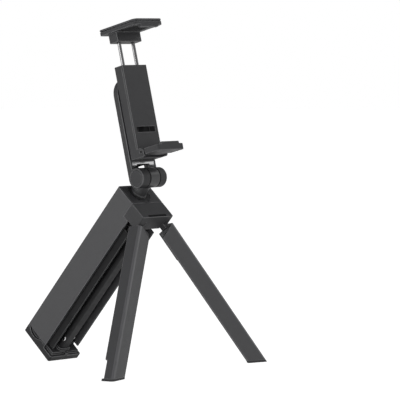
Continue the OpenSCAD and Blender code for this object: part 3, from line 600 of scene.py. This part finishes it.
coil("clamp_spring_coil", "clamp_spring", BODY, radius=2.95, wire=0.45, turns=24)
coil("jaw_spring_coil_left", "jaw_spring_left", HOLDER, radius=1.4, wire=0.22, turns=18)
coil("jaw_spring_coil_right", "jaw_spring_right", HOLDER, radius=1.4, wire=0.22, turns=18)


# Low round head on the left of the foot's cross pin

# Its radius and height, and how far its foot lies inside the pin's end
PIN_HEAD_R = 1.75
PIN_HEAD_H = 0.45
PIN_HEAD_IN = 0.35


def pin_head():
    """The bright head that shows in the bar's side."""
    low, high = span("foot_pin", BODY)
    middle = (low + high) / 2
    head = new_object("foot_pin_head", dome_mesh("pin_head", PIN_HEAD_R, PIN_HEAD_H))
    # The head takes the steel's lighter edge finish, in part a painted highlight
    head.data.materials.append(STEEL_EDGE)
    leftwards = Matrix.Rotation(math.radians(-90), 4, "Y")
    head.data.transform(BODY @ Matrix.Translation((low.x + PIN_HEAD_IN, middle.y, middle.z)) @ leftwards)
    finish_piece(head, "foot_pin", replaces=False)


pin_head()


# Soft pads, with ribs in the jaws and studs on the foot

def field_tree():
    """Rows and columns of one form on a flat field."""
    tree = bpy.data.node_groups.new("form_field", "GeometryNodeTree")
    named_sockets(tree, "INPUT", [
        ("Form", "Object", None), ("Columns", "Int", 4), ("Rows", "Int", 4), ("Column step", "Float", 1),
        ("Row step", "Float", 1), ("Material", "Material", None)])
    named_sockets(tree, "OUTPUT", [("Geometry", "Geometry", None)])
    given = put(tree, "NodeGroupInput", (-1100, 0)).outputs
    gaps = {way: maths(tree, "SUBTRACT", (-850, at), given[way + "s"], 1)
            for way, at in (("Column", 150), ("Row", -150))}
    grid = put(tree, "GeometryNodeMeshGrid", (-400, 0), {
        "Vertices X": given["Columns"], "Vertices Y": given["Rows"],
        "Size X": maths(tree, "MULTIPLY", (-650, 150), gaps["Column"], given["Column step"]),
        "Size Y": maths(tree, "MULTIPLY", (-650, -150), gaps["Row"], given["Row step"])})
    form = put(tree, "GeometryNodeObjectInfo", (-400, -350), {"Object": given["Form"]})
    placed = put(tree, "GeometryNodeInstanceOnPoints", (0, 0),
                 {"Points": grid.outputs["Mesh"], "Instance": form.outputs["Geometry"]})
    real = put(tree, "GeometryNodeRealizeInstances", (300, 0), {"Geometry": placed.outputs["Instances"]})
    painted = put(tree, "GeometryNodeSetMaterial", (600, 0),
                  {"Geometry": real.outputs["Geometry"], "Material": given["Material"]})
    put(tree, "NodeGroupOutput", (900, 0), {"Geometry": painted.outputs["Geometry"]})
    return tree


FIELD = field_tree()


def field(name, form, place, node, look, **sizes):
    """Repeats form over a field laid by place, and makes it one plain mesh that rides with node."""
    source = new_object(name + "_form", form)
    obj = new_object(name, bpy.data.meshes.new(name))
    grid = obj.modifiers.new("field", "NODES")
    grid.node_group = FIELD
    values = {key.replace("_", " "): value for key, value in sizes.items()}
    values.update({"Form": source, "Material": look})
    for item in FIELD.interface.items_tree:
        if item.in_out == "INPUT":
            grid[item.identifier] = values[item.name]
    settle(obj)
    bpy.data.objects.remove(source)
    obj.data.transform(place)
    finish_piece(obj, node, replaces=False)


# How far a pad's edges are rounded
PAD_SOFT = 0.2
# A jaw pad's ribs: across, high, proud of the base, below the solid pad's face, and clear of its ends
RIB_W = 0.7
RIB_H = 0.5
RIB_PROUD = 0.3
RIB_UNDER = 0.01
RIB_ENDS = 0.3
# The foot pad's domed studs: their size, proud of the pad's base, and their step and count
STUD_R = 0.5
STUD_H = 0.4
STUD_PROUD = 0.35
STUD_STEP = 1.38
STUD_COLUMNS = 13
STUD_ROWS = 8


def pad_base(node, place, low, high):
    """A soft pad's base between two corners of the frame place, in the stead of the plain pad."""
    obj = new_object(node + "_base", bar_mesh(node + "_base", high - low, PAD_SOFT))
    obj.data.transform(place @ Matrix.Translation((low + high) / 2))
    obj.data.materials.append(RUBBER)
    finish_piece(obj, node)


def ribbed_pad(node, side, rows, step):
    """A jaw's pad, with ribs on its upper side, 1, or its lower side, -1."""
    low, high = span(node, HOLDER)
    face = high.z if side > 0 else low.z
    middle = (low + high) / 2
    rib = (high.x - low.x - 2 * RIB_ENDS, RIB_W, RIB_H)
    at = Vector((0, middle.y, face - side * (RIB_H / 2 + RIB_UNDER)))
    if side > 0:
        high.z -= RIB_PROUD
    else:
        low.z += RIB_PROUD
    pad_base(node, HOLDER, low, high)
    field(node + "_ribs", bar_mesh("rib", rib, PAD_SOFT), HOLDER @ Matrix.Translation(at), node, RUBBER,
          Columns=1, Rows=rows, Column_step=1, Row_step=step)


def studded_pad():
    """The foot's pad, with domed studs on its upper side."""
    low, high = span("grip_pad", BODY)
    at = Vector((0, (low.y + high.y) / 2, high.z - STUD_H))
    high.z -= STUD_PROUD
    pad_base("grip_pad", BODY, low, high)
    field("grip_pad_studs", dome_mesh("stud", STUD_R, STUD_H), BODY @ Matrix.Translation(at), "grip_pad",
          RUBBER, Columns=STUD_COLUMNS, Rows=STUD_ROWS, Column_step=STUD_STEP, Row_step=STUD_STEP)


ribbed_pad("upper_pad", -1, rows=9, step=1.45)
ribbed_pad("lower_pad", 1, rows=4, step=1.5)
studded_pad()


# Studio floor and room

# Half the floor's width, its two greys, and its glow towards the camera, where 1 is white
FLOOR_HALF = 6
FLOOR_GREYS = (0.42, 0.46)
FLOOR_GLOW = 0.88
# The heights of a ray's direction between which the white backdrop ends
BACKDROP_TOP = (0.12, 0.4)
# The room's light from the horizon up: bright walls under a dim ceiling
ROOM = (
    (0.0, (1.15, 1.15, 1.15, 1)),
    (0.16, (1.12, 1.12, 1.12, 1)),
    (0.45, (0.3, 0.3, 0.31, 1)),
    (0.75, (0.12, 0.12, 0.13, 1)),
)
WHITE = (1, 1, 1, 1)


def seen_directly(tree, at):
    """1 for rays from the camera, off metal and through glass, which all show the white background."""
    rays = put(tree, "ShaderNodeLightPath", at).outputs
    either = maths(tree, "MAXIMUM", (at[0] + 200, at[1]), rays["Is Camera Ray"], rays["Is Glossy Ray"])
    return maths(tree, "MAXIMUM", (at[0] + 400, at[1]), either, rays["Is Transmission Ray"])


def studio_floor():
    """A pale, matt floor that keeps the stand's shadow and shows white to the camera."""
    corners = [(x * FLOOR_HALF, y * FLOOR_HALF, 0) for x, y in ((-1, -1), (1, -1), (1, 1), (-1, 1))]
    mesh = bpy.data.meshes.new("studio_floor")
    mesh.from_pydata(corners, [], [(0, 1, 2, 3)])
    look = bpy.data.materials.new("pale_floor")
    look.use_nodes = True
    tree = look.node_tree
    noise = put(tree, "ShaderNodeTexNoise", (-600, 0), {"Scale": 3})
    ramp = put(tree, "ShaderNodeValToRGB", (-350, 0), {"Fac": noise.outputs["Fac"]})
    for stop, level in zip(ramp.color_ramp.elements, FLOOR_GREYS):
        stop.color = (level, level, level, 1)
    glow = maths(tree, "MULTIPLY", (-200, 300), seen_directly(tree, (-900, 300)), FLOOR_GLOW)
    surface = tree.nodes["Principled BSDF"]
    surface.inputs["Roughness"].default_value = 0.9
    surface.inputs["Specular IOR Level"].default_value = 0.1
    surface.inputs["Emission Color"].default_value = WHITE
    tree.links.new(ramp.outputs["Color"], surface.inputs["Base Color"])
    tree.links.new(glow, surface.inputs["Emission Strength"])
    mesh.materials.append(look)
    return new_object("studio_floor", mesh)


def studio_room():
    """The room's light. Metal and glass see white up to the backdrop's top, and the ceiling above it."""
    world = bpy.data.worlds.new("studio")
    world.use_nodes = True
    tree = world.node_tree
    direction = put(tree, "ShaderNodeTexCoord", (-900, 0)).outputs["Generated"]
    height = put(tree, "ShaderNodeSeparateXYZ", (-700, 0), {0: direction}).outputs["Z"]
    walls = put(tree, "ShaderNodeValToRGB", (-450, 0), {"Fac": height})
    stops = walls.color_ramp.elements
    while len(stops) < len(ROOM):
        stops.new(1.0)
    for stop, (position, colour) in zip(stops, ROOM):
        stop.position = position
        stop.color = colour
    backdrop = put(tree, "ShaderNodeMapRange", (-450, 500), {
        "Value": height, "From Min": BACKDROP_TOP[0], "From Max": BACKDROP_TOP[1],
        "To Min": 1, "To Max": 0})
    camera_ray = put(tree, "ShaderNodeLightPath", (-900, 700)).outputs["Is Camera Ray"]
    white = maths(tree, "MAXIMUM", (-300, 700), backdrop.outputs["Result"], camera_ray)
    share = maths(tree, "MULTIPLY", (-150, 400), seen_directly(tree, (-900, 300)), white)
    # The colour inputs and output of the Mix node are its numbers 6, 7 and 2
    mixed = put(tree, "ShaderNodeMix", (-150, 0), {"Factor": share, 6: walls.outputs["Color"], 7: WHITE},
                data_type="RGBA").outputs[2]
    light = tree.nodes["Background"]
    light.inputs["Strength"].default_value = 1.0
    tree.links.new(mixed, light.inputs["Color"])
    return world


floor = studio_floor()
bpy.context.scene.world = studio_room()


# Lights and camera

def softbox(name, at, aim, size, power):
    """A rectangular lamp of so many watts at a place, turned to what it lights."""
    light = bpy.data.lights.new(name, "AREA")
    light.shape = "RECTANGLE"
    light.size, light.size_y = size
    light.energy = power
    obj = new_object(name, light)
    obj.location = at
    obj.rotation_euler = (Vector(aim) - Vector(at)).to_track_quat("-Z", "Y").to_euler()


# What the lamps are turned to
LEGS = (0, 0, 0.08)
HEAD = (0, 0, 0.1)
softbox("side_light", at=(-1.5, 0.35, 0.25), aim=LEGS, size=(0.9, 0.6), power=11.5)
softbox("front_light", at=(0.25, -1.6, 0.3), aim=HEAD, size=(0.8, 0.6), power=3)
softbox("top_light", at=(0.9, -0.9, 1.25), aim=HEAD, size=(0.7, 0.7), power=8)
softbox("fill_light", at=(-1.45, -0.9, 0.16), aim=LEGS, size=(0.5, 0.4), power=6)


def photo_camera():
    """The camera where the photograph was taken."""
    yaw, pitch, roll = (math.radians(angle) for angle in (CAMERA_YAW, CAMERA_PITCH, CAMERA_ROLL))
    back = Vector((math.sin(yaw) * math.cos(pitch), -math.cos(yaw) * math.cos(pitch), math.sin(pitch)))
    level_right = Vector((math.cos(yaw), math.sin(yaw), 0))
    level_up = back.cross(level_right)
    right = level_right * math.cos(roll) + level_up * math.sin(roll)
    up = level_up * math.cos(roll) - level_right * math.sin(roll)
    camera = bpy.data.cameras.new("photo_camera")
    camera.sensor_width = CAMERA_CHIP
    camera.lens = CAMERA_LENS
    camera.clip_start = 0.05
    camera.clip_end = 50
    obj = new_object("photo_camera", camera)
    obj.matrix_world = Matrix.Translation(CAMERA_AT) @ Matrix((right, up, back)).transposed().to_4x4()
    return obj


bpy.context.scene.camera = photo_camera()
bpy.context.scene.view_settings.view_transform = "Standard"
